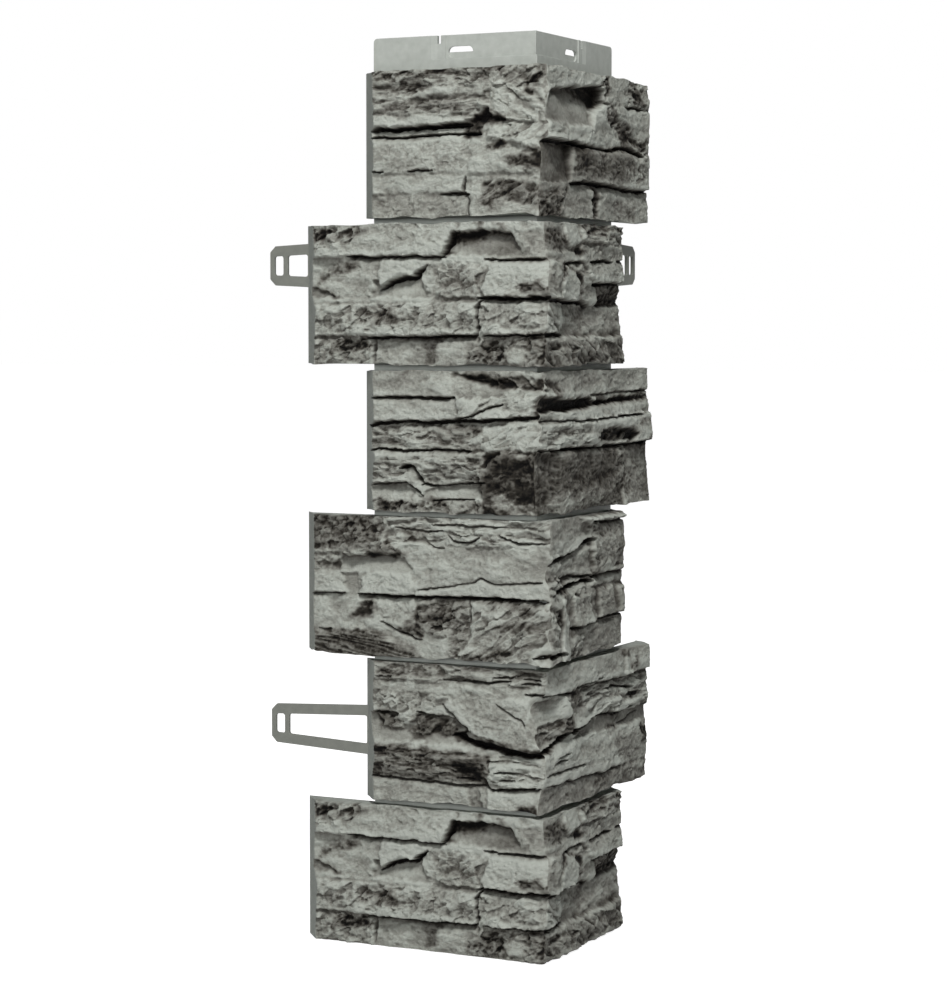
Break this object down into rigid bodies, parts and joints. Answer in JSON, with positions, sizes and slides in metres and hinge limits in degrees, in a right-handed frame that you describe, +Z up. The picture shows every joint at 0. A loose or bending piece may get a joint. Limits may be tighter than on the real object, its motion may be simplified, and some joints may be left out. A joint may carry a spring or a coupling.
{
  "type": "facade panel outer corner",
  "caption": "Outer corner cladding panel moulded in one piece: hollow L-shaped shell with stone-look courses, slotted nailing flange along the top and nail tabs at the sides.",
  "frame": {"origin": "on the arris of the building's corner, where the two wall planes meet, at the panel's foot", "axes": "+Z up along the arris; the left leg runs towards -X with its stones facing -Y; the right leg runs towards +Y with its stones facing +X"},
  "size_m": [0.1596, 0.136, 0.4438],
  "materials": {
    "moulded_plastic": "matt moulded polypropylene, grey with dark stone toning"
  },
  "bodies": {
    "root": {"corner_panel": "moulded_plastic"}
  },
  "joints": []
}
